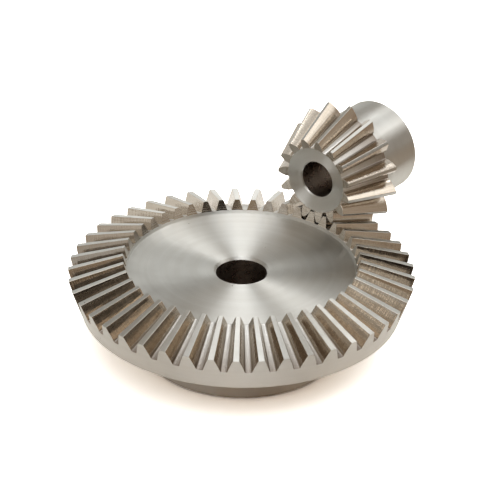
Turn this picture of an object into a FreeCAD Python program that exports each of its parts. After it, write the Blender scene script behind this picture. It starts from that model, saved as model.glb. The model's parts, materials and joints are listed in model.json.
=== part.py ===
import FreeCAD, Part
import math
import os

import Sketcher

# Straight bevel gear pair, ratio 3:1, shafts crossing at 90 degrees.
# Row frame: +Z up along the wheel's axis, the pinion's shaft along +Y.
# The origin is on the wheel's axis at the plane that the pair stands on.
# Both pitch cones meet at one apex, straight above the origin.

doc = FreeCAD.newDocument("bevel_gear_pair")

# ---------------------------------------------------------------------------
# Driving dimensions, in millimetres and degrees
# ---------------------------------------------------------------------------
DRIVING = {
    "gear_module": 3.0,
    "wheel_teeth": 45,
    "pinion_teeth": 15,
    "pressure_angle": 20.0,
    "face_width": 22.5,
    "backlash": 0.12,
    "pinion_thicker_by": 0.07,
    "root_fillet_radius": 0.5,
    "wheel_turn": 1.27,
    # wheel blank
    "wheel_bore_radius": 10.0,
    "wheel_hub_radius": 40.0,
    "wheel_mounting_distance": 55.3,
    "wheel_rim_depth": 15.5,
    "wheel_rim_chamfer": 0.3,
    "wheel_hub_chamfer": 1.0,
    "wheel_bore_chamfer": 1.0,
    "wheel_seat_chamfer": 0.4,
    "dish_wall_below_root": 1.4,
    "dish_fall_to_bore": 1.1,
    "dish_corner_radius": 0.5,
    # pinion blank
    "pinion_bore_radius": 7.5,
    "pinion_hub_radius": 19.0,
    "pinion_mounting_distance": 90.0,
    "pinion_face_ring_radius": 11.2,
    "pinion_bore_chamfer": 0.5,
    "pinion_hub_chamfer": 1.0,
    # spacing rings behind the two hubs
    "ring_thickness": 0.5,
    "wheel_ring_bore_radius": 11.0,
    "wheel_ring_outer_radius": 36.0,
    "pinion_ring_bore_radius": 8.5,
    "pinion_ring_outer_radius": 16.5,
}


def pair_geometry(size):
    """Works out the cones of both gears from the driving dimensions."""
    module = size["gear_module"]
    wheel_pitch = math.atan2(size["wheel_teeth"], size["pinion_teeth"])
    pinion_pitch = math.pi / 2 - wheel_pitch
    heel = module * size["wheel_teeth"] / (2 * math.sin(wheel_pitch))
    toe = heel - size["face_width"]
    # long-addendum pinion and short-addendum wheel, whole depth 2.188 modules
    wheel_size_share = (size["wheel_teeth"] / size["pinion_teeth"]) ** 2
    wheel_addendum = module * (0.54 + 0.46 / wheel_size_share)
    pinion_addendum = 2 * module - wheel_addendum
    whole_depth = 2.188 * module
    wheel_dedendum = whole_depth - wheel_addendum
    pinion_dedendum = whole_depth - pinion_addendum
    lean = math.tan(math.radians(size["pressure_angle"]))
    half_pitch = math.pi * module / 2
    shift = (pinion_addendum - wheel_addendum) * lean + size["pinion_thicker_by"]
    wheel = cones(wheel_pitch, heel, toe, wheel_addendum, wheel_dedendum, pinion_dedendum)
    wheel["teeth"] = size["wheel_teeth"]
    wheel["thickness"] = half_pitch - shift - size["backlash"] / 2
    pinion = cones(pinion_pitch, heel, toe, pinion_addendum, pinion_dedendum, wheel_dedendum)
    pinion["teeth"] = size["pinion_teeth"]
    pinion["thickness"] = half_pitch + shift - size["backlash"] / 2
    return wheel, pinion


def cones(pitch, heel, toe, addendum, dedendum, mate_dedendum):
    """Cone angles of one gear, and its corner points as (radius, distance along the axis).

    The tip cone runs parallel to the mate's root cone, so the clearance is the same
    from heel to toe. Distances along the axis are measured from the apex.
    """
    def corner(cone_distance, height):
        radius = cone_distance * math.sin(pitch) + height * math.cos(pitch)
        along = cone_distance * math.cos(pitch) - height * math.sin(pitch)
        return radius, along

    toe_share = toe / heel
    mate_root_lean = mate_dedendum / heel
    toe_addendum = addendum - (heel - toe) * mate_root_lean
    return {
        "pitch": pitch,
        "heel": heel,
        "root": pitch - math.atan(dedendum / heel),
        "tip": pitch + math.atan(addendum / heel),
        "heel_tip": corner(heel, addendum),
        "heel_root": corner(heel, -dedendum),
        "toe_tip": corner(toe, toe_addendum),
        "toe_root": corner(toe, -dedendum * toe_share),
    }


def blank_sizes(size, wheel, pinion):
    """Corner radii and heights of the two turned blanks.

    The wheel's heights start at its hub seat, the pinion's distances at the apex.
    """
    mount = size["wheel_mounting_distance"]
    slope = math.tan(wheel["pitch"])
    wheel_tip_radius, wheel_tip_drop = wheel["heel_tip"]
    wheel_toe_radius, wheel_toe_drop = wheel["toe_tip"]
    root_radius, root_drop = wheel["toe_root"]
    rim_height = mount - wheel_tip_drop - size["wheel_rim_depth"] * math.sin(wheel["pitch"])
    dish_edge_height = mount - root_drop - size["dish_wall_below_root"]
    dish_edge_radius = root_radius - size["dish_wall_below_root"] / slope
    pinion_tip_radius, pinion_tip_along = pinion["heel_tip"]
    pinion_toe_radius, pinion_toe_along = pinion["toe_tip"]
    toe_slope = math.tan(pinion["pitch"])
    back_drop = pinion_tip_radius - size["pinion_hub_radius"]
    face_drop = pinion_toe_radius - size["pinion_face_ring_radius"]
    return {
        "wheel_tip_radius": wheel_tip_radius,
        "wheel_tip_height": mount - wheel_tip_drop,
        "wheel_rim_radius": wheel_tip_radius - size["wheel_rim_depth"] * math.cos(wheel["pitch"]),
        "wheel_rim_height": rim_height,
        "wheel_toe_radius": wheel_toe_radius,
        "wheel_toe_height": mount - wheel_toe_drop,
        "dish_edge_radius": dish_edge_radius,
        "dish_edge_height": dish_edge_height,
        "dish_bore_height": dish_edge_height - size["dish_fall_to_bore"],
        "pinion_tip_radius": pinion_tip_radius,
        "pinion_tip_along": pinion_tip_along,
        "pinion_toe_radius": pinion_toe_radius,
        "pinion_toe_along": pinion_toe_along,
        "pinion_back_along": pinion_tip_along + back_drop * toe_slope,
        "pinion_face_along": pinion_toe_along + face_drop * toe_slope,
    }


def fill_sheet(values):
    """Writes one plain number to each cell of column B and names it in column A."""
    sheet = doc.addObject("Spreadsheet::Sheet", "sizes")
    for row, (name, value) in enumerate(values.items(), start=1):
        sheet.set(f"A{row}", name)
        sheet.set(f"B{row}", repr(round(value, 6)))
        sheet.setAlias(f"B{row}", name)
    doc.recompute()
    return sheet


# ---------------------------------------------------------------------------
# Turned blanks
# ---------------------------------------------------------------------------
def origin_plane(body, role):
    for feature in body.Origin.OriginFeatures:
        if feature.Role == role:
            return feature
    raise ValueError(f"{body.Name} has no {role}")


def profile_sketch(body, name, corners):
    """A closed outline on the body's XZ plane, each corner held by two named sizes.

    A corner is (radius name, height name); both are measured from the body's origin.
    """
    sketch = body.newObject("Sketcher::SketchObject", name)
    sketch.AttachmentSupport = [(origin_plane(body, "XZ_Plane"), "")]
    sketch.MapMode = "FlatFace"
    places = []
    for radius_name, height_name in corners:
        radius = getattr(sizes, radius_name)
        height = getattr(sizes, height_name)
        places.append(FreeCAD.Vector(float(radius), float(height), 0))
    count = len(places)
    for index in range(count):
        sketch.addGeometry(Part.LineSegment(places[index], places[(index + 1) % count]), False)
    for index in range(count):
        following = (index + 1) % count
        sketch.addConstraint(Sketcher.Constraint("Coincident", index, 2, following, 1))
    for index, (radius_name, height_name) in enumerate(corners):
        across = sketch.addConstraint(
            Sketcher.Constraint("DistanceX", -1, 1, index, 1, places[index].x))
        sketch.setExpression(f"Constraints[{across}]", f"sizes.{radius_name}")
        up = sketch.addConstraint(
            Sketcher.Constraint("DistanceY", -1, 1, index, 1, places[index].y))
        sketch.setExpression(f"Constraints[{up}]", f"sizes.{height_name}")
    return sketch


def turn(body, sketch):
    revolution = body.newObject("PartDesign::Revolution", sketch.Name + "_turned")
    revolution.Profile = sketch
    revolution.ReferenceAxis = (sketch, ["V_Axis"])
    revolution.Angle = 360.0
    sketch.Visibility = False
    body.Tip = revolution
    doc.recompute()
    return revolution


def circle_edge(feature, radius_name, height_name):
    """The name of the full-circle edge with this radius at this height."""
    radius = float(getattr(sizes, radius_name))
    height = float(getattr(sizes, height_name))
    for number, edge in enumerate(feature.Shape.Edges, start=1):
        if not isinstance(edge.Curve, Part.Circle):
            continue
        same_radius = abs(edge.Curve.Radius - radius) < 1e-3
        same_height = abs(edge.Curve.Center.z - height) < 1e-3
        if same_radius and same_height:
            return f"Edge{number}"
    raise ValueError(f"no edge at {radius_name}, {height_name}")


def break_edge(body, kind, name, size_name, *edges):
    """A chamfer or fillet of a named size on circle edges of the body's last feature."""
    before = body.Tip
    feature = body.newObject(f"PartDesign::{kind}", name)
    feature.Base = (before, [circle_edge(before, *edge) for edge in edges])
    size_property = "Size" if kind == "Chamfer" else "Radius"
    feature.setExpression(size_property, f"sizes.{size_name}")
    body.Tip = feature
    doc.recompute()
    return feature


def wheel_blank():
    """Dished disc on a wide hub, its top turned to the tip cone and its rim to the back cone."""
    body = doc.addObject("PartDesign::Body", "wheel_blank")
    outline = profile_sketch(body, "wheel_outline", [
        ("wheel_bore_radius", "seat"),
        ("wheel_hub_radius", "seat"),
        ("wheel_hub_radius", "wheel_rim_height"),
        ("wheel_rim_radius", "wheel_rim_height"),
        ("wheel_tip_radius", "wheel_tip_height"),
        ("wheel_toe_radius", "wheel_toe_height"),
        ("dish_edge_radius", "dish_edge_height"),
        ("wheel_bore_radius", "dish_bore_height"),
    ])
    turn(body, outline)
    break_edge(body, "Chamfer", "wheel_bore_edge", "wheel_bore_chamfer",
               ("wheel_bore_radius", "dish_bore_height"))
    break_edge(body, "Chamfer", "wheel_seat_edge", "wheel_seat_chamfer",
               ("wheel_bore_radius", "seat"))
    break_edge(body, "Chamfer", "wheel_hub_edge", "wheel_hub_chamfer",
               ("wheel_hub_radius", "seat"))
    break_edge(body, "Chamfer", "wheel_rim_edge", "wheel_rim_chamfer",
               ("wheel_rim_radius", "wheel_rim_height"))
    break_edge(body, "Fillet", "dish_corner", "dish_corner_radius",
               ("dish_edge_radius", "dish_edge_height"))
    return body


def pinion_blank():
    """Cone for the teeth with a flat ring round the bore, on a plain cylindrical hub."""
    body = doc.addObject("PartDesign::Body", "pinion_blank")
    outline = profile_sketch(body, "pinion_outline", [
        ("pinion_bore_radius", "pinion_face_along"),
        ("pinion_face_ring_radius", "pinion_face_along"),
        ("pinion_toe_radius", "pinion_toe_along"),
        ("pinion_tip_radius", "pinion_tip_along"),
        ("pinion_hub_radius", "pinion_back_along"),
        ("pinion_hub_radius", "pinion_mounting_distance"),
        ("pinion_bore_radius", "pinion_mounting_distance"),
    ])
    turn(body, outline)
    break_edge(body, "Chamfer", "pinion_bore_edges", "pinion_bore_chamfer",
               ("pinion_bore_radius", "pinion_face_along"),
               ("pinion_bore_radius", "pinion_mounting_distance"))
    break_edge(body, "Chamfer", "pinion_hub_edge", "pinion_hub_chamfer",
               ("pinion_hub_radius", "pinion_mounting_distance"))
    return body


# ---------------------------------------------------------------------------
# Tooth gaps
# ---------------------------------------------------------------------------
def involute_turn(base, cone):
    """How far a spherical involute has turned between its base cone and another cone."""
    if cone <= base:
        return 0.0
    roll = math.acos(math.cos(cone) / math.cos(base))
    return roll / math.sin(base) - math.atan(math.tan(roll) / math.sin(base))


def half_gap(gear, cone):
    """Half the angle between two neighbouring flanks, about the gear's axis."""
    base = math.asin(math.sin(gear["pitch"]) * math.cos(math.radians(sizes.pressure_angle)))
    pitch_radius = gear["heel"] * math.sin(gear["pitch"])
    half_tooth = gear["thickness"] / (2 * pitch_radius)
    grown = involute_turn(base, cone) - involute_turn(base, gear["pitch"])
    return math.pi / gear["teeth"] - half_tooth + grown


def flank_place(gear, cone):
    """A flank point unrolled at the heel: (distance from the gap's middle, height above root)."""
    across = gear["heel"] * math.sin(cone) * half_gap(gear, cone)
    height = gear["heel"] * (cone - gear["root"])
    return across, height


def fillet_start(gear, radius):
    """Where a root fillet of this radius leaves the flank, and the middle of its arc."""
    low = gear["root"]
    high = gear["pitch"]
    step = 1e-5
    for _ in range(50):
        cone = (low + high) / 2
        across, height = flank_place(gear, cone)
        next_across, next_height = flank_place(gear, cone + step)
        length = math.hypot(next_across - across, next_height - height)
        sideways = (next_across - across) / length
        upward = (next_height - height) / length
        if height + radius * sideways < radius:
            low = cone
        else:
            high = cone
    return cone, across - radius * upward


def gap_half_outline(gear):
    """One side of a tooth gap as two lists of (cone angle, angle about the axis)."""
    radius = float(sizes.root_fillet_radius)
    start, middle = fillet_start(gear, radius)
    across, height = flank_place(gear, start)
    sweep = math.atan2(across - middle, radius - height)
    fillet = []
    for index in range(FILLET_POINTS):
        swing = sweep * index / (FILLET_POINTS - 1)
        cone = gear["root"] + radius * (1 - math.cos(swing)) / gear["heel"]
        side = middle + radius * math.sin(swing)
        fillet.append((cone, side / (gear["heel"] * math.sin(cone))))
    # the gap runs a little past the tip cone, so that it cuts clean through
    end = gear["tip"] + PAST_TIP / gear["heel"]
    flank = []
    for index in range(FLANK_POINTS):
        cone = start + (end - start) * index / (FLANK_POINTS - 1)
        flank.append((cone, half_gap(gear, cone)))
    return fillet, flank


def gap_section(gear, along):
    """The closed outline of a tooth gap in the plane at this distance from the apex."""
    def place(cone, turn_angle):
        radius = along * math.tan(cone)
        return FreeCAD.Vector(radius * math.cos(turn_angle), radius * math.sin(turn_angle), along)

    def curve(points):
        spline = Part.BSplineCurve()
        spline.interpolate([place(*point) for point in points])
        return spline.toShape()

    def arc(cone, first, last):
        middle = place(cone, (first + last) / 2)
        return Part.Arc(place(cone, first), middle, place(cone, last)).toShape()

    def mirrored(points):
        return [(cone, -turn_angle) for cone, turn_angle in reversed(points)]

    fillet, flank = gap_half_outline(gear)
    root_cone, root_turn = fillet[0]
    end_cone, end_turn = flank[-1]
    return Part.Wire([
        arc(root_cone, -root_turn, root_turn),
        curve(fillet),
        curve(flank),
        arc(end_cone, end_turn, -end_turn),
        curve(mirrored(flank)),
        curve(mirrored(fillet)),
    ])


def tooth_gaps(gear, near, far):
    """All tooth gaps of one gear, the first one centred on +X, apex at the origin, axis +Z.

    Each flank is part of a cone through the apex, so a gap is ruled between two
    similar outlines, one nearer the apex than the toe and one past the heel.
    """
    gap = Part.makeLoft([gap_section(gear, near), gap_section(gear, far)], True, True)
    axis = FreeCAD.Vector(0, 0, 1)
    gaps = []
    for index in range(gear["teeth"]):
        copy = gap.copy()
        copy.rotate(FreeCAD.Vector(0, 0, 0), axis, 360.0 * index / gear["teeth"])
        gaps.append(copy)
    return Part.makeCompound(gaps)


def gap_feature(name, gear, near, far, placement):
    feature = doc.addObject("Part::Feature", name)
    feature.Shape = tooth_gaps(gear, near, far)
    feature.Placement = placement
    return feature


# ---------------------------------------------------------------------------
# Sub-parts
# ---------------------------------------------------------------------------
def cut_gear(label, blank, gaps, placement):
    gear = doc.addObject("Part::Cut", label)
    gear.Label = label
    gear.Base = blank
    gear.Tool = gaps
    gear.Placement = placement
    return gear


def bevel_wheel():
    """The large gear: teeth up, hub down, turned a little from the mid-mesh position."""
    upside_down = FreeCAD.Rotation(FreeCAD.Vector(1, 0, 0), 180)
    # a tooth, not a gap, points along +Y before the rest turn
    half_step = 180.0 / sizes.wheel_teeth
    first_gap = FreeCAD.Rotation(FreeCAD.Vector(0, 0, 1), 90.0 + half_step)
    apex = FreeCAD.Vector(0, 0, float(sizes.wheel_mounting_distance))
    gap_place = FreeCAD.Placement(apex, first_gap.multiply(upside_down))
    far = wheel_gear["heel_root"][1] + 4.0
    near = wheel_gear["toe_tip"][1] - 3.0
    gaps = gap_feature("wheel_gaps", wheel_gear, near, far, gap_place)
    rest_turn = FreeCAD.Rotation(FreeCAD.Vector(0, 0, 1), float(sizes.wheel_turn))
    seat = FreeCAD.Vector(0, 0, float(sizes.ring_thickness))
    return cut_gear("bevel_wheel", wheel_blank(), gaps, FreeCAD.Placement(seat, rest_turn))


def along_y(turn_angle):
    """Rotation that lays a piece's own +Z along the pinion's shaft, +Y, and turns it there."""
    lay_down = FreeCAD.Rotation(FreeCAD.Vector(1, 0, 0), -90)
    return FreeCAD.Rotation(FreeCAD.Vector(0, 1, 0), turn_angle).multiply(lay_down)


def shaft_crossing():
    """The apex of both pitch cones, in the row frame."""
    return FreeCAD.Vector(0, 0, float(sizes.ring_thickness + sizes.wheel_mounting_distance))


def bevel_pinion():
    """The small gear on the level shaft: the gap that holds the wheel's tooth points down."""
    down = FreeCAD.Placement(FreeCAD.Vector(0, 0, 0), FreeCAD.Rotation(FreeCAD.Vector(0, 0, 1), 90))
    far = pinion_gear["heel_root"][1] + 4.0
    near = pinion_gear["toe_tip"][1] - 3.0
    gaps = gap_feature("pinion_gaps", pinion_gear, near, far, down)
    ratio = sizes.wheel_teeth / sizes.pinion_teeth
    rest = FreeCAD.Placement(shaft_crossing(), along_y(ratio * float(sizes.wheel_turn)))
    return cut_gear("bevel_pinion", pinion_blank(), gaps, rest)


def spacing_ring(label, bore_name, outer_name, placement):
    """A flat ring that sets a gear's mounting distance and takes its end thrust."""
    body = doc.addObject("PartDesign::Body", label)
    body.Label = label
    sketch = body.newObject("Sketcher::SketchObject", label + "_outline")
    sketch.AttachmentSupport = [(origin_plane(body, "XY_Plane"), "")]
    sketch.MapMode = "FlatFace"
    up = FreeCAD.Vector(0, 0, 1)
    for index, name in enumerate((outer_name, bore_name)):
        radius = float(getattr(sizes, name))
        sketch.addGeometry(Part.Circle(FreeCAD.Vector(0, 0, 0), up, radius), False)
        sketch.addConstraint(Sketcher.Constraint("Coincident", index, 3, -1, 1))
        held = sketch.addConstraint(Sketcher.Constraint("Radius", index, radius))
        sketch.setExpression(f"Constraints[{held}]", f"sizes.{name}")
    pad = body.newObject("PartDesign::Pad", label + "_plate")
    pad.Profile = sketch
    pad.setExpression("Length", "sizes.ring_thickness")
    body.Tip = pad
    body.Placement = placement
    sketch.Visibility = False
    return body


def wheel_spacing_ring():
    flat = FreeCAD.Placement(FreeCAD.Vector(0, 0, 0), FreeCAD.Rotation())
    return spacing_ring("wheel_spacing_ring", "wheel_ring_bore_radius",
                        "wheel_ring_outer_radius", flat)


def pinion_spacing_ring():
    hub_end = FreeCAD.Vector(0, float(sizes.pinion_mounting_distance), 0)
    behind = FreeCAD.Placement(shaft_crossing().add(hub_end), along_y(0))
    return spacing_ring("pinion_spacing_ring", "pinion_ring_bore_radius",
                        "pinion_ring_outer_radius", behind)


def check_document():
    for item in doc.Objects:
        if "Invalid" in item.State or "Error" in item.State:
            raise RuntimeError(f"{item.Name} did not recompute: {item.State}")


def export(parts):
    os.makedirs("parts", exist_ok=True)
    for part in parts:
        shape = part.Shape
        if shape.isNull() or not shape.isValid():
            raise RuntimeError(f"{part.Label} has no valid shape")
        if len(shape.Solids) != 1:
            raise RuntimeError(f"{part.Label} is {len(shape.Solids)} solids, not one")
        shape.exportStep(f"parts/{part.Label}.step")
        box = shape.BoundBox
        print(f"{part.Label}: {shape.Volume / 1000:.2f} cm3, "
              f"x {box.XMin:.2f}..{box.XMax:.2f}, y {box.YMin:.2f}..{box.YMax:.2f}, "
              f"z {box.ZMin:.2f}..{box.ZMax:.2f}")


FILLET_POINTS = 5
FLANK_POINTS = 9
PAST_TIP = 0.6

wheel_gear, pinion_gear = pair_geometry(DRIVING)
SIZES = dict(DRIVING, seat=0.0, **blank_sizes(DRIVING, wheel_gear, pinion_gear))
sizes = fill_sheet(SIZES)

sub_parts = [
    bevel_wheel(),
    bevel_pinion(),
    wheel_spacing_ring(),
    pinion_spacing_ring(),
]
doc.recompute()
check_document()
export(sub_parts)
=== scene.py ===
import json
import math

import bmesh
import bpy
from mathutils import Matrix, Vector


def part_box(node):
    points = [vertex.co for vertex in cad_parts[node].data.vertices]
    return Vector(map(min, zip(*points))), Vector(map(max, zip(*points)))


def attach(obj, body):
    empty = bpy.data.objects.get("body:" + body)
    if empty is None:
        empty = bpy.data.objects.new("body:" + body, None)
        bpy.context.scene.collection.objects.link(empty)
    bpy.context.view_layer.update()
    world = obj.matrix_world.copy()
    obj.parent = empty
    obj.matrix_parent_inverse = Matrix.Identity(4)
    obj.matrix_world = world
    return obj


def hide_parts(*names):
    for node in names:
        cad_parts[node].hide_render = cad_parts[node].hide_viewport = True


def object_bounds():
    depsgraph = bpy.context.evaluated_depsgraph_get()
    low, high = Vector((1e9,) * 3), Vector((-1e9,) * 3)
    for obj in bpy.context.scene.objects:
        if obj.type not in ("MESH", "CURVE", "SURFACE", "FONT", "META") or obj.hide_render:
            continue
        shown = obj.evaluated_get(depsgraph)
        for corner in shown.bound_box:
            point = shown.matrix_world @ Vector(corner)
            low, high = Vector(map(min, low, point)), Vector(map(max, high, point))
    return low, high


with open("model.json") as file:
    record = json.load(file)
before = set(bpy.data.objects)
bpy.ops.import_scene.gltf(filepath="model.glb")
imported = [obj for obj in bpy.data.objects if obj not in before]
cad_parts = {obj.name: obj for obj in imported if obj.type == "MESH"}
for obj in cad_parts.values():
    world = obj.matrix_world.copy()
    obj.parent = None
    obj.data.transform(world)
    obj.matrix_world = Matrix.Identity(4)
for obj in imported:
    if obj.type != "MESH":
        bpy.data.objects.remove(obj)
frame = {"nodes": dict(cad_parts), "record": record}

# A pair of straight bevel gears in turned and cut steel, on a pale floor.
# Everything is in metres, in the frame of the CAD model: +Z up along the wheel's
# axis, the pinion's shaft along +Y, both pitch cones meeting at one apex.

cad_low, cad_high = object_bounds()

MM = 0.001

# ---------------------------------------------------------------------------
# Gear sizes, as in the CAD design
# ---------------------------------------------------------------------------
MODULE = 3.0 * MM
WHEEL_TEETH = 45
PINION_TEETH = 15
PRESSURE_ANGLE = math.radians(20.0)
FACE_WIDTH = 22.5 * MM
BACKLASH = 0.12 * MM
WHOLE_DEPTH = 2.188 * MODULE
WORKING_DEPTH = 2 * MODULE
LEAST_ADDENDUM = 0.54 * MODULE
ADDENDUM_FROM_RATIO = 0.46 * MODULE
PINION_THICKER_BY = 0.07 * MM
ROOT_FILLET = 0.5 * MM
WHEEL_TURN = math.radians(1.27)
WHEEL_RIM_DEPTH = 15.5 * MM
DISH_WALL_BELOW_ROOT = 1.4 * MM
DISH_FALL_TO_BORE = 1.1 * MM
DISH_CORNER_RADIUS = 0.5 * MM
WHEEL_HUB_RADIUS = 40.0 * MM
PINION_HUB_RADIUS = 19.0 * MM
PINION_FACE_RING_RADIUS = 11.2 * MM
HUB_CHAMFER = 1.0 * MM
WHEEL_BORE_CHAMFER = 1.0 * MM
PINION_BORE_CHAMFER = 0.5 * MM
RIM_CHAMFER = 0.3 * MM
SEAT_CHAMFER = 0.4 * MM

# the apex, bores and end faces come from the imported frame
mounts = {mount["name"]: mount for mount in frame["record"]["mounts"]}
WHEEL_BORE_RADIUS = mounts["wheel_bore"]["dims"]["r_mm"] * MM
PINION_BORE_RADIUS = mounts["pinion_bore"]["dims"]["r_mm"] * MM
APEX = Vector((0, 0, mounts["pinion_bore"]["pos_m"][2]))
WHEEL_SEAT_DEPTH = APEX.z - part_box("bevel_wheel")[0].z
PINION_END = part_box("bevel_pinion")[1].y

# how finely the meshes follow the shapes
FILLET_STEPS = 4
FLANK_STEPS = 8
LENGTH_STEPS = 4
CORNER_STEPS = 6
DISH_STEPS = 6
RIM_STEPS = 3
HALVINGS = 50
EDGE_BREAK = 0.14 * MM
SHARPEST_SMOOTH_EDGE = math.radians(28)


def cones(pitch, addendum, dedendum, mate_dedendum, teeth, thickness):
    """One gear's cone angles and tooth heights; its apex is the mesh's own origin."""
    heel = MODULE * teeth / (2 * math.sin(pitch))
    return {
        "teeth": teeth,
        "pitch": pitch,
        "heel": heel,
        "toe": heel - FACE_WIDTH,
        "root": pitch - math.atan(dedendum / heel),
        "addendum": addendum,
        "tip_slope": mate_dedendum / heel,
        "half_tooth": thickness / (2 * heel * math.sin(pitch)),
        "base": math.asin(math.sin(pitch) * math.cos(PRESSURE_ANGLE)),
    }


def pair_of_gears():
    wheel_pitch = math.atan2(WHEEL_TEETH, PINION_TEETH)
    """The two gears' cones, with a short addendum on the wheel and a long one on the pinion."""
    wheel_addendum = LEAST_ADDENDUM + ADDENDUM_FROM_RATIO * (PINION_TEETH / WHEEL_TEETH) ** 2
    pinion_addendum = WORKING_DEPTH - wheel_addendum
    wheel_dedendum = WHOLE_DEPTH - wheel_addendum
    pinion_dedendum = WHOLE_DEPTH - pinion_addendum
    shift = (pinion_addendum - wheel_addendum) * math.tan(PRESSURE_ANGLE) + PINION_THICKER_BY
    even = math.pi * MODULE / 2 - BACKLASH / 2
    wheel = cones(wheel_pitch, wheel_addendum, wheel_dedendum, pinion_dedendum,
                  WHEEL_TEETH, even - shift)
    pinion = cones(math.pi / 2 - wheel_pitch, pinion_addendum, pinion_dedendum, wheel_dedendum,
                   PINION_TEETH, even + shift)
    return wheel, pinion


# ---------------------------------------------------------------------------
# Tooth shape: spherical involute flanks, as cones through the apex
# ---------------------------------------------------------------------------
def involute_turn(base, cone):
    """How far an involute from this base cone has turned about the axis at a larger cone."""
    if cone <= base:
        return 0.0
    roll = math.acos(math.cos(cone) / math.cos(base))
    return roll / math.sin(base) - math.atan(math.tan(roll) / math.sin(base))


def half_gap(gear, cone):
    """Half the angle between two neighbouring flanks, about the gear's axis."""
    grown = involute_turn(gear["base"], cone) - involute_turn(gear["base"], gear["pitch"])
    return math.pi / gear["teeth"] - gear["half_tooth"] + grown


def fillet_arc(gear):
    """The root fillet as (cone angle, half angle) pairs, and the cone where it meets the flank."""
    heel = gear["heel"]

    def unrolled(cone):
        return heel * math.sin(cone) * half_gap(gear, cone), heel * (cone - gear["root"])

    low, high = gear["root"], gear["pitch"]
    step = 1e-5
    for _ in range(HALVINGS):
        start = (low + high) / 2
        across, height = unrolled(start)
        next_across, next_height = unrolled(start + step)
        length = math.hypot(next_across - across, next_height - height)
        sideways = (next_across - across) / length
        upward = (next_height - height) / length
        if height + ROOT_FILLET * sideways < ROOT_FILLET:
            low = start
        else:
            high = start
    middle = across - ROOT_FILLET * upward
    sweep = math.atan2(across - middle, ROOT_FILLET - height)
    arc = []
    for index in range(FILLET_STEPS):
        swing = sweep * index / FILLET_STEPS
        cone = gear["root"] + ROOT_FILLET * (1 - math.cos(swing)) / heel
        side = middle + ROOT_FILLET * math.sin(swing)
        arc.append((cone, side / (heel * math.sin(cone))))
    return arc, start


def tip_cone(gear, distance):
    """Cone angle of the tooth tip at this distance from the apex along the pitch cone."""
    height = gear["addendum"] - (gear["heel"] - distance) * gear["tip_slope"]
    return gear["pitch"] + math.atan(height / distance)


def tooth_section(gear, distance):
    """Half a tooth gap at one distance along the pitch cone, from root to tip.

    The points lie on the cone that crosses the pitch cone squarely there, as
    (radius, distance along the axis, half angle of the gap).
    """
    arc, start = fillet_arc(gear)
    tip = tip_cone(gear, distance)
    profile = list(arc)
    for index in range(FLANK_STEPS + 1):
        cone = start + (tip - start) * index / FLANK_STEPS
        profile.append((cone, half_gap(gear, cone)))
    points = []
    for cone, half in profile:
        reach = distance / math.cos(cone - gear["pitch"])
        points.append((reach * math.sin(cone), reach * math.cos(cone), half))
    return points


# ---------------------------------------------------------------------------
# Gear mesh
# ---------------------------------------------------------------------------
# the finish of each face, in the order in which a gear's materials are added
TURNED, CUT, BORE, END, SLOT = range(5)


def at(radius, along, turn):
    """A point at this radius, distance along the axis and turn about it."""
    return Vector((radius * math.cos(turn), radius * math.sin(turn), along))


def tooth_rows(mesh, gear):
    """Rings of vertices round all teeth, from toe to heel.

    Each ring runs gap middle, one side up, tip middle, the other side down, for
    every tooth. Returns the rings and the number of points on one side of a gap.
    """
    rows = []
    for step in range(LENGTH_STEPS + 1):
        distance = gear["toe"] + FACE_WIDTH * step / LENGTH_STEPS
        side = tooth_section(gear, distance)
        root_radius, root_along, _ = side[0]
        tip_radius, tip_along, _ = side[-1]
        ring = []
        for tooth in range(gear["teeth"]):
            gap_middle = math.tau * tooth / gear["teeth"]
            tooth_middle = gap_middle + math.pi / gear["teeth"]
            ring.append(mesh.verts.new(at(root_radius, root_along, gap_middle)))
            for radius, along, half in side:
                ring.append(mesh.verts.new(at(radius, along, gap_middle + half)))
            ring.append(mesh.verts.new(at(tip_radius, tip_along, tooth_middle)))
            for radius, along, half in reversed(side):
                turn = 2 * tooth_middle - gap_middle - half
                ring.append(mesh.verts.new(at(radius, along, turn)))
        rows.append(ring)
    return rows, len(side)


def skin_rows(mesh, rows, side_count, flip):
    """Faces between neighbouring rings: slot bottoms, flanks and tips."""
    per_tooth = 2 * side_count + 2
    count = len(rows[0])
    for near, far in zip(rows, rows[1:]):
        for index in range(count):
            after = (index + 1) % count
            corners = [near[index], near[after], far[after], far[index]]
            place = index % per_tooth
            on_tip = place in (side_count, side_count + 1)
            in_slot = min(place, per_tooth - 1 - place) < FILLET_STEPS
            zone = TURNED if on_tip else SLOT if in_slot else CUT
            add_face(mesh, corners, zone, flip)


def add_face(mesh, corners, zone, flip):
    if flip:
        corners = list(reversed(corners))
    face = mesh.faces.new(corners)
    face.material_index = zone
    face.smooth = True
    return face


def close_teeth(mesh, gear, row, side_count, zone, flip):
    """Fills the tooth outlines at one end with rungs from side to side.

    Returns the ring of vertices along the foot of the teeth, gap middles included.
    """
    per_tooth = 2 * side_count + 2
    foot = []
    for tooth in range(gear["teeth"]):
        start = tooth * per_tooth
        rising = row[start + 1:start + 1 + side_count]
        top = row[start + 1 + side_count]
        falling = row[start + 2 + side_count:start + per_tooth]
        falling.reverse()
        middle_turn = math.tau * (tooth + 0.5) / gear["teeth"]
        spine = []
        for vertex in rising[:-1]:
            radius = math.hypot(vertex.co.x, vertex.co.y)
            spine.append(mesh.verts.new(at(radius, vertex.co.z, middle_turn)))
        spine.append(top)
        for level in range(side_count - 1):
            left = [rising[level], spine[level], spine[level + 1], rising[level + 1]]
            right = [spine[level], falling[level], falling[level + 1], spine[level + 1]]
            add_face(mesh, left, zone, flip)
            add_face(mesh, right, zone, flip)
        foot += [row[start], rising[0], spine[0], falling[0]]
    return foot


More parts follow.
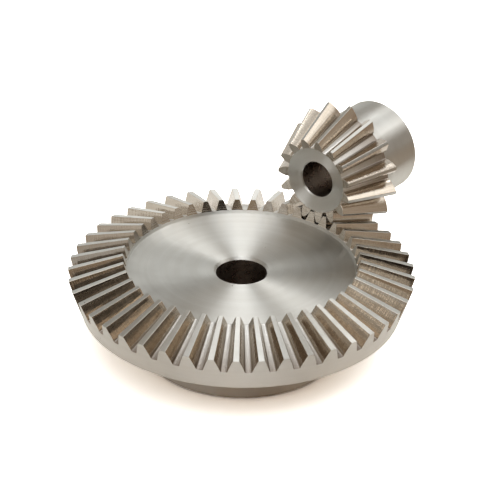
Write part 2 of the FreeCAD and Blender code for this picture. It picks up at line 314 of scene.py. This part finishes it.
def turn_profile(mesh, first_ring, outline, zones, flip):
    """Carries a ring of vertices along a turned outline of (radius, along) points."""
    turns = [math.atan2(vertex.co.y, vertex.co.x) for vertex in first_ring]
    ring = first_ring
    for (radius, along), zone in zip(outline, zones):
        following = [mesh.verts.new(at(radius, along, turn)) for turn in turns]
        bridge(mesh, ring, following, zone, flip)
        ring = following
    return ring


def bridge(mesh, ring, following, zone, flip):
    count = len(ring)
    for index in range(count):
        after = (index + 1) % count
        corners = [ring[index], ring[after], following[after], following[index]]
        add_face(mesh, corners, zone, flip)


def rounded(before, corner, after, radius, steps):
    """Points of a fillet of this radius at a corner between two straight runs."""
    corner = Vector(corner)
    toward = (Vector(before) - corner).normalized()
    onward = (Vector(after) - corner).normalized()
    half = toward.angle(onward) / 2
    middle = corner + (toward + onward).normalized() * radius / math.sin(half)
    first = corner + toward * radius / math.tan(half) - middle
    last = corner + onward * radius / math.tan(half) - middle
    sweep = first.angle(last)
    points = []
    for index in range(steps + 1):
        share = index / steps
        blend = (first * math.sin((1 - share) * sweep) + last * math.sin(share * sweep))
        points.append(tuple(middle + blend / math.sin(sweep)))
    return points


def chamfered(before, corner, after, size):
    """The two points of a chamfer of this size at a corner."""
    corner = Vector(corner)
    toward = (Vector(before) - corner).normalized() * size
    onward = (Vector(after) - corner).normalized() * size
    return [tuple(corner + toward), tuple(corner + onward)]


def between(start, end, count):
    """Evenly spaced points after start, up to but not including end."""
    start, end = Vector(start), Vector(end)
    return [tuple(start.lerp(end, index / count)) for index in range(1, count)]


def gear_piece(name, gear, front_outline, back_outline):
    """A closed gear mesh: teeth, then turned outlines from the toe and from the heel.

    Each outline is a list of (radius, along, zone); both end on the bore.
    """
    mesh = bmesh.new()
    rows, side_count = tooth_rows(mesh, gear)
    skin_rows(mesh, rows, side_count, False)
    toe_foot = close_teeth(mesh, gear, rows[0], side_count, END, True)
    heel_foot = close_teeth(mesh, gear, rows[-1], side_count, TURNED, False)
    front = [point[:2] for point in front_outline]
    back = [point[:2] for point in back_outline]
    front_end = turn_profile(mesh, toe_foot, front, [p[2] for p in front_outline], True)
    back_end = turn_profile(mesh, heel_foot, back, [p[2] for p in back_outline], False)
    bridge(mesh, front_end, back_end, BORE, True)
    bmesh.ops.recalc_face_normals(mesh, faces=mesh.faces)
    data = bpy.data.meshes.new(name)
    mesh.to_mesh(data)
    mesh.free()
    piece = bpy.data.objects.new(name, data)
    bpy.context.collection.objects.link(piece)
    bevel = piece.modifiers.new("edge_break", "BEVEL")
    bevel.width = EDGE_BREAK
    bevel.segments = 2
    bevel.limit_method = "ANGLE"
    bevel.angle_limit = SHARPEST_SMOOTH_EDGE
    bevel.use_clamp_overlap = False
    bevel.harden_normals = True
    return piece


def wheel_outlines(gear):
    """Dish, bore and back of the wheel; distances run down from the apex to the hub seat."""
    root_radius, root_along, _ = tooth_section(gear, gear["toe"])[0]
    slope = math.tan(gear["pitch"])
    dish_edge = (root_radius - DISH_WALL_BELOW_ROOT / slope, root_along + DISH_WALL_BELOW_ROOT)
    bore_top = (WHEEL_BORE_RADIUS, dish_edge[1] + DISH_FALL_TO_BORE)
    bore_foot = (WHEEL_BORE_RADIUS, WHEEL_SEAT_DEPTH)
    corner = rounded((root_radius, root_along), dish_edge, bore_top, DISH_CORNER_RADIUS, CORNER_STEPS)
    mouth = chamfered(dish_edge, bore_top, bore_foot, WHEEL_BORE_CHAMFER)
    front = corner + between(corner[-1], mouth[0], DISH_STEPS) + mouth
    front = [(radius, along, TURNED) for radius, along in front]
    heel_radius, heel_along, _ = tooth_section(gear, gear["heel"])[-1]
    rim = (heel_radius - WHEEL_RIM_DEPTH * math.cos(gear["pitch"]),
           heel_along + WHEEL_RIM_DEPTH * math.sin(gear["pitch"]))
    neck = (WHEEL_HUB_RADIUS, rim[1])
    hub_foot = (WHEEL_HUB_RADIUS, WHEEL_SEAT_DEPTH)
    back = chamfered((heel_radius, heel_along), rim, neck, RIM_CHAMFER)
    back += between(rim, neck, RIM_STEPS) + [neck]
    back += chamfered(neck, hub_foot, bore_foot, HUB_CHAMFER)
    back += chamfered(hub_foot, bore_foot, bore_top, SEAT_CHAMFER)
    back = [(radius, along, TURNED) for radius, along in back]
    return front, back


def pinion_outlines(gear):
    """Toe face, bore and hub of the pinion; distances run out from the apex to the hub end."""
    root_radius, root_along, _ = tooth_section(gear, gear["toe"])[0]
    slope = math.tan(gear["pitch"])
    face_along = root_along + (root_radius - PINION_FACE_RING_RADIUS) * slope
    end = PINION_END
    ring_edge = (PINION_FACE_RING_RADIUS, face_along)
    bore_mouth = (PINION_BORE_RADIUS, face_along)
    bore_end = (PINION_BORE_RADIUS, end)
    front = [ring_edge] + chamfered(ring_edge, bore_mouth, bore_end, PINION_BORE_CHAMFER)
    front = [(radius, along, TURNED) for radius, along in front]
    heel_radius, heel_along, _ = tooth_section(gear, gear["heel"])[0]
    neck = (PINION_HUB_RADIUS, heel_along + (heel_radius - PINION_HUB_RADIUS) * slope)
    hub_end = (PINION_HUB_RADIUS, end)
    back = [neck] + chamfered(neck, hub_end, bore_end, HUB_CHAMFER)
    back += chamfered(hub_end, bore_end, bore_mouth, PINION_BORE_CHAMFER)
    back = [(radius, along, TURNED) for radius, along in back]
    return front, back


# ---------------------------------------------------------------------------
# Materials
# ---------------------------------------------------------------------------
TURNED_DARK = (0.595, 0.585, 0.550, 1)
TURNED_LIGHT = (0.640, 0.635, 0.605, 1)
# the flanks' colours: the cut finish, browned and darkened partly as painted shade
FLANK_DARK = (0.505, 0.445, 0.378, 1)
FLANK_LIGHT = (0.575, 0.525, 0.458, 1)
SLOT_DARK = (0.540, 0.525, 0.495, 1)
SLOT_LIGHT = (0.600, 0.595, 0.575, 1)
END_DARK = (0.540, 0.495, 0.435, 1)
END_LIGHT = (0.600, 0.565, 0.510, 1)
# the bore's steel colours are painted dark, as shade inside the bore
BORE_SHADED_DARK = (0.240, 0.190, 0.150, 1)
BORE_SHADED_LIGHT = (0.340, 0.290, 0.250, 1)
PIT_COLOUR = (0.220, 0.190, 0.160, 1)
# painted shade that darkens and browns the cut steel towards the heel
HEEL_SHADE_COLOUR = (0.200, 0.155, 0.120, 1)
# pits, in millimetres, and the share of places that has one
PIT_SPACING = 5.0
PIT_SIZE = 0.45
PIT_SHARE = 0.22
TURNED_ROUGHNESS = 0.40
RING_ROUGHNESS = 0.30
SLOT_ROUGHNESS = 0.30
BORE_ROUGHNESS = 0.28
FLANK_ROUGHNESS = 0.15
END_ROUGHNESS = 0.13
# how much painted heel shade the flanks and the slots take
FLANK_HEEL_SHADE = 0.12
SLOT_HEEL_SHADE = 0.75


class Graph:
    """Adds and links the nodes of one material or world."""

    def __init__(self, owner):
        owner.use_nodes = True
        self.tree = owner.node_tree

    def add(self, kind, *values, **settings):
        """A node with the given input values or links, in the order of its sockets."""
        node = self.tree.nodes.new(kind)
        for name, setting in settings.items():
            setattr(node, name, setting)
        for socket, value in zip(node.inputs, values):
            self.feed(socket, value)
        return node

    def feed(self, socket, value):
        if value is None:
            return
        if isinstance(value, bpy.types.NodeSocket):
            self.tree.links.new(value, socket)
        else:
            socket.default_value = value

    def math(self, operation, *values):
        return self.add("ShaderNodeMath", *values, operation=operation).outputs[0]

    def vector(self, operation, *values):
        node = self.add("ShaderNodeVectorMath", *values, operation=operation)
        return node.outputs[1 if operation in ("DOT_PRODUCT", "LENGTH") else 0]

    def point(self, x, y, z):
        return self.add("ShaderNodeCombineXYZ", x, y, z).outputs[0]

    def noise(self, place, scale, detail=2.0, roughness=0.5):
        node = self.add("ShaderNodeTexNoise", noise_dimensions="3D")
        self.feed(node.inputs["Vector"], place)
        self.feed(node.inputs["Scale"], scale)
        self.feed(node.inputs["Detail"], detail)
        self.feed(node.inputs["Roughness"], roughness)
        return node.outputs[0]

    def ramp(self, value, low, high, out_low, out_high):
        """Maps low..high to out_low..out_high, clamped."""
        return self.add("ShaderNodeMapRange", value, low, high, out_low, out_high).outputs[0]

    def mix(self, share, first, second):
        node = self.add("ShaderNodeMix", data_type="RGBA")
        self.feed(node.inputs["Factor"], share)
        self.feed(node.inputs["A"], first)
        self.feed(node.inputs["B"], second)
        return node.outputs["Result"]

    def bump(self, height, strength, distance, normal=None):
        node = self.add("ShaderNodeBump")
        self.feed(node.inputs["Strength"], strength)
        self.feed(node.inputs["Distance"], distance)
        self.feed(node.inputs["Height"], height)
        self.feed(node.inputs["Normal"], normal)
        return node.outputs[0]


def gear_coordinates(graph):
    """Object position in millimetres, its radius from the axis, and its turn about the axis."""
    place = graph.add("ShaderNodeTexCoord").outputs["Object"]
    place = graph.vector("MULTIPLY", place, (1000, 1000, 1000))
    x, y, z = graph.add("ShaderNodeSeparateXYZ", place).outputs
    flat = graph.vector("MULTIPLY", place, (1, 1, 0))
    radius = graph.vector("LENGTH", flat)
    turn = graph.math("ARCTAN2", y, x)
    return place, radius, turn, z


def pits(graph, place, spacing, size, share):
    """Small sparse pits: 1 inside a pit, 0 outside."""
    cells = graph.add("ShaderNodeTexVoronoi", feature="F1")
    graph.feed(cells.inputs["Vector"], place)
    graph.feed(cells.inputs["Scale"], 1 / spacing)
    chosen = graph.add("ShaderNodeSeparateColor", cells.outputs["Color"]).outputs[0]
    chosen = graph.math("LESS_THAN", chosen, share)
    inside = graph.ramp(cells.outputs["Distance"], size / spacing, 0.4 * size / spacing, 0, 1)
    return graph.math("MULTIPLY", inside, chosen)


def steel_shader(graph, colour, roughness, normal, anisotropy):
    shader = graph.tree.nodes["Principled BSDF"]
    shader.inputs["Metallic"].default_value = 1.0
    graph.feed(shader.inputs["Base Color"], colour)
    graph.feed(shader.inputs["Roughness"], roughness)
    graph.feed(shader.inputs["Normal"], normal)
    if anisotropy:
        shader.inputs["Anisotropic"].default_value = anisotropy
        shader.inputs["Anisotropic Rotation"].default_value = 0.25
        tangent = graph.add("ShaderNodeTangent", direction_type="RADIAL", axis="Z")
        graph.feed(shader.inputs["Tangent"], tangent.outputs[0])


def turned_steel(name, roughness):
    """Lathe-turned steel: rings of fine tool marks about the axis, with pits and scuffs."""
    material = bpy.data.materials.new(name)
    graph = Graph(material)
    place, radius, turn, along = gear_coordinates(graph)
    across = graph.point(radius, along, 0.0)
    swept = graph.point(radius, along, graph.math("MULTIPLY", turn, 1.3))
    fine_rings = graph.noise(across, 3.2, 1.0)
    broad_rings = graph.noise(across, 0.5, 2.0)
    patches = graph.noise(swept, 0.35, 3.0)
    scuffs = graph.noise(place, 0.12, 4.0, 0.6)
    marks = pits(graph, place, PIT_SPACING, PIT_SIZE, PIT_SHARE)
    worn = graph.ramp(scuffs, 0.35, 0.7, -0.03, 0.05)
    ringed = graph.ramp(broad_rings, 0.3, 0.7, roughness - 0.01, roughness + 0.01)
    rough = graph.math("ADD", ringed, worn)
    shade = graph.ramp(patches, 0.3, 0.7, 0, 1)
    colour = graph.mix(shade, TURNED_DARK, TURNED_LIGHT)
    colour = graph.mix(marks, colour, PIT_COLOUR)
    normal = graph.bump(fine_rings, 0.07, 0.02)
    normal = graph.bump(marks, 0.4, -0.05, normal)
    steel_shader(graph, colour, rough, normal, 1.0)
    return material


def cut_steel(name, roughness, dark, light, heel_shade):
    """Planed tooth sides: feed marks across, fine scratches along, painted shade darkening them
    towards the heel.
    """
    material = bpy.data.materials.new(name)
    graph = Graph(material)
    place, radius, turn, along = gear_coordinates(graph)
    reach = graph.vector("LENGTH", place)
    feed = graph.noise(graph.point(reach, graph.math("MULTIPLY", turn, 4.0), 0.0), 1.3, 2.0)
    slope = graph.math("DIVIDE", along, radius)
    grain = graph.vector("MULTIPLY", graph.point(reach, turn, slope), (0.05, 40, 14))
    scratches = graph.noise(grain, 2.0, 2.0)
    blotches = graph.noise(place, 0.35, 4.0, 0.6)
    rough = graph.ramp(blotches, 0.3, 0.7, roughness - 0.03, roughness + 0.05)
    shade = graph.ramp(scratches, 0.3, 0.7, 0, 1)
    colour = graph.mix(shade, dark, light)
    # painted shade: darker and browner from 54 mm out from the apex to the heel
    heel_shaded = graph.ramp(reach, 54, 71, 0, heel_shade)
    colour = graph.mix(heel_shaded, colour, HEEL_SHADE_COLOUR)
    normal = graph.bump(feed, 0.04, 0.02)
    normal = graph.bump(scratches, 0.03, 0.01, normal)
    steel_shader(graph, colour, rough, normal, 0.0)
    return material


def end_steel(name, roughness):
    """The small end faces of the teeth: faced smooth, with faint rings and smudges."""
    material = bpy.data.materials.new(name)
    graph = Graph(material)
    place, radius, _, along = gear_coordinates(graph)
    rings = graph.noise(graph.point(radius, along, 0.0), 2.0, 2.0)
    smudges = graph.noise(place, 0.5, 3.0, 0.6)
    rough = graph.ramp(smudges, 0.3, 0.7, roughness - 0.03, roughness + 0.06)
    shade = graph.ramp(smudges, 0.35, 0.65, 0, 1)
    colour = graph.mix(shade, END_DARK, END_LIGHT)
    normal = graph.bump(rings, 0.06, 0.02)
    steel_shader(graph, colour, rough, normal, 0.0)
    return material


def bored_steel(name, roughness):
    """The bore wall: dull reamed steel with rings, painted dark as shade inside the bore, and an oily
    film in its roughness.
    """
    material = bpy.data.materials.new(name)
    graph = Graph(material)
    place, _, _, along = gear_coordinates(graph)
    rings = graph.noise(graph.point(0.0, 0.0, along), 2.5, 2.0)
    film = graph.noise(place, 0.3, 3.0)
    rough = graph.ramp(film, 0.3, 0.7, roughness - 0.05, roughness + 0.08)
    colour = graph.mix(graph.ramp(rings, 0.3, 0.7, 0, 1), BORE_SHADED_DARK, BORE_SHADED_LIGHT)
    normal = graph.bump(rings, 0.1, 0.03)
    steel_shader(graph, colour, rough, normal, 0.6)
    return material


# ---------------------------------------------------------------------------
# Pieces
# ---------------------------------------------------------------------------
wheel_gear, pinion_gear = pair_of_gears()
wheel = gear_piece("wheel", wheel_gear, *wheel_outlines(wheel_gear))
pinion = gear_piece("pinion", pinion_gear, *pinion_outlines(pinion_gear))

# Each gear turns about its own local Z, from the apex towards its heel. Local +X starts as a
# gap's middle, and the mesh is turned so that the teeth meet at rest as they do in the CAD.
wheel_turn = -(math.pi / 2 + math.pi / WHEEL_TEETH + WHEEL_TURN)
pinion_turn = math.pi / 2 + WHEEL_TURN * WHEEL_TEETH / PINION_TEETH
for piece, turn, tilt in ((wheel, wheel_turn, math.pi), (pinion, pinion_turn, -math.pi / 2)):
    piece.data.transform(Matrix.Rotation(turn, 4, "Z"))
    piece.matrix_world = Matrix.Translation(APEX) @ Matrix.Rotation(tilt, 4, "X")

for piece, body, node in ((wheel, "wheel", "bevel_wheel"), (pinion, "pinion", "bevel_pinion")):
    steels = (
        turned_steel(f"{piece.name}_turned", TURNED_ROUGHNESS),
        cut_steel(f"{piece.name}_cut", FLANK_ROUGHNESS, FLANK_DARK, FLANK_LIGHT, FLANK_HEEL_SHADE),
        bored_steel(f"{piece.name}_bore", BORE_ROUGHNESS),
        end_steel(f"{piece.name}_end", END_ROUGHNESS),
        cut_steel(f"{piece.name}_slot", SLOT_ROUGHNESS, SLOT_DARK, SLOT_LIGHT, SLOT_HEEL_SHADE),
    )
    for steel in steels:
        piece.data.materials.append(steel)
    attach(piece, body)
    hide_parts(node)

ring_finish = turned_steel("spacing_ring_steel", RING_ROUGHNESS)
for ring_node in ("wheel_spacing_ring", "pinion_spacing_ring"):
    ring_slots = frame["nodes"][ring_node].material_slots
    ring_slots[0].material = ring_finish

# ---------------------------------------------------------------------------
# Floor, light and camera
# ---------------------------------------------------------------------------
CAMERA_AZIMUTH = math.radians(38.28)
CAMERA_ELEVATION = math.radians(29.395)
CAMERA_ROLL = math.radians(1.02)
CAMERA_DISTANCE = 979.75 * MM
CAMERA_RIGHT_OF_APEX = 3.0 * MM
CAMERA_BELOW_APEX = 10.35 * MM
LENS_WIDTHS = 5.0495

FLOOR_WIDTH = 8
# above 1, so that the paper clips to white in the picture wherever it isn't in deep shade
PAPER_SEEN = (2.4, 2.4, 2.4, 1)
# what the steel reflects, with painted light and shade: the floor near the gears painted brighter
# than lit paper, painted shade where the wheel shades it, and further off lighter ahead and darker
# and warmer behind as painted shade
NEAR_FLOOR_PAINTED_LIGHT = (1.22, 1.21, 1.18, 1)
PAPER_IN_SHADE = (0.80, 0.62, 0.48, 1)
FLOOR_AHEAD = (0.92, 0.92, 0.89, 1)
FLOOR_BEHIND_PAINTED_SHADE = (0.42, 0.34, 0.27, 1)
# distances from the wheel's axis, in metres, over which each gives way to the next
SHADE_ENDS = (0.072, 0.082)
PAPER_ENDS = (0.11, 0.17)


def facing(azimuth, elevation):
    """A direction in the room; azimuth 0 is where the camera looks, 90 is to its right."""
    swing = CAMERA_AZIMUTH - math.radians(azimuth)
    rise = math.radians(elevation)
    return (-math.sin(swing) * math.cos(rise), math.cos(swing) * math.cos(rise), math.sin(rise))


def studio_floor():
    """Pale paper to the camera; in the steel, painted light and shade: bright near the gears, dark in
    the wheel's shade, and further off lighter ahead and darker and warmer behind.
    """
    bpy.ops.mesh.primitive_plane_add(size=FLOOR_WIDTH, location=(0, 0, cad_low.z))
    floor = bpy.context.object
    floor.name = "floor"
    paper = bpy.data.materials.new("floor_paper")
    graph = Graph(paper)
    place = graph.add("ShaderNodeTexCoord").outputs["Object"]
    outward = graph.vector("NORMALIZE", place)
    # painted light and shade in what the steel sees: lighter ahead, darker behind, brighter near the
    # gears, darker under the wheel
    ahead = graph.vector("DOT_PRODUCT", outward, facing(-25, 0))
    far = graph.mix(graph.ramp(ahead, -0.3, 0.7, 0, 1), FLOOR_BEHIND_PAINTED_SHADE, FLOOR_AHEAD)
    distance = graph.vector("LENGTH", place)
    open_floor = graph.mix(graph.ramp(distance, *PAPER_ENDS, 1, 0), far, NEAR_FLOOR_PAINTED_LIGHT)
    reflected = graph.mix(graph.ramp(distance, *SHADE_ENDS, 1, 0), open_floor, PAPER_IN_SHADE)
    seen = graph.add("ShaderNodeLightPath").outputs["Is Camera Ray"]
    shader = paper.node_tree.nodes["Principled BSDF"]
    graph.feed(shader.inputs["Base Color"], graph.mix(seen, reflected, PAPER_SEEN))
    shader.inputs["Roughness"].default_value = 1.0
    shader.inputs["Specular IOR Level"].default_value = 0.0
    floor.data.materials.append(paper)


def studio_light():
    """The room that the steel reflects: pale beyond the pair, warm and dim behind, lamps above.

    Each patch is (azimuth, elevation, radius, soft edge, colour, strength), in degrees. The
    camera itself sees a plain pale background.
    """
    world = bpy.data.worlds.new("studio")
    bpy.context.scene.world = world
    graph = Graph(world)
    ray = graph.add("ShaderNodeTexCoord").outputs["Generated"]
    room = (0.34, 0.26, 0.185, 1)
    patches = (
        (0, 20, 52, 22, (1.00, 1.00, 0.97), 0.86),      # pale backdrop beyond the pair
        (-95, 4, 34, 16, (1.00, 0.94, 0.85), 0.66),     # wall to the left
        (96, 4, 28, 14, (1.00, 0.84, 0.68), 0.50),      # warm wall to the right
        (62, 6, 18, 14, (1.00, 0.98, 0.94), 0.90),      # pale end of that wall
        (84, 50, 12, 10, (1.00, 0.99, 0.96), 2.00),     # high window to the right
        (156, 7, 18, 5, (1.00, 0.65, 0.42), 0.01),      # dark doorway behind, to the right
        (157, 34, 18, 8, (1.00, 0.70, 0.50), 0.04),     # dark wall above it
        (-150, 8, 9, 5, (1.00, 1.00, 0.98), 0.60),      # window behind, to the left
        (-135, 40, 14, 10, (1.00, 0.98, 0.93), 0.80),   # pale wall above it
        (-28, 57, 13, 8, (1.00, 0.85, 0.70), 0.30),     # warm shade above the backdrop
        (-50, 42, 12, 8, (1.00, 0.78, 0.58), 0.06),     # dark shade to its left
        (180, 58, 20, 10, (1.00, 1.00, 1.00), 3.2),     # soft box above and behind the camera
        (0, 90, 16, 10, (1.00, 1.00, 0.98), 1.0),       # ceiling panel
        (0, 66, 5, 3, (1.00, 1.00, 1.00), 5.5),         # main lamp
        (27, 50, 5, 3, (1.00, 1.00, 1.00), 5.0),        # second lamp
    )
    colour = room
    for azimuth, elevation, radius, edge, tint, strength in patches:
        closeness = graph.vector("DOT_PRODUCT", ray, facing(azimuth, elevation))
        outer = math.cos(math.radians(radius + edge))
        inner = math.cos(math.radians(radius - edge / 2))
        share = graph.ramp(closeness, outer, inner, 0.0, 1.0)
        colour = graph.mix(share, colour, tuple(strength * part for part in tint) + (1,))
    seen = graph.add("ShaderNodeLightPath").outputs["Is Camera Ray"]
    colour = graph.mix(seen, colour, (0.95, 0.95, 0.95, 1))
    graph.feed(world.node_tree.nodes["Background"].inputs["Color"], colour)
    graph.feed(world.node_tree.nodes["Background"].inputs["Strength"], 1.0)


studio_floor()
studio_light()

back = Vector((math.sin(CAMERA_AZIMUTH) * math.cos(CAMERA_ELEVATION),
               -math.cos(CAMERA_AZIMUTH) * math.cos(CAMERA_ELEVATION),
               math.sin(CAMERA_ELEVATION)))
level_right = Vector((math.cos(CAMERA_AZIMUTH), math.sin(CAMERA_AZIMUTH), 0))
level_up = back.cross(level_right)
right = level_right * math.cos(CAMERA_ROLL) + level_up * math.sin(CAMERA_ROLL)
up = level_up * math.cos(CAMERA_ROLL) - level_right * math.sin(CAMERA_ROLL)
camera = bpy.data.objects.new("camera", bpy.data.cameras.new("camera"))
bpy.context.collection.objects.link(camera)
camera.data.lens = camera.data.sensor_width * LENS_WIDTHS
camera.data.clip_end = 20
place = APEX + back * CAMERA_DISTANCE + right * CAMERA_RIGHT_OF_APEX - up * CAMERA_BELOW_APEX
turn = Matrix((right, up, back)).transposed().to_4x4()
camera.matrix_world = Matrix.Translation(place) @ turn
bpy.context.scene.camera = camera
bpy.context.scene.view_settings.view_transform = "Standard"
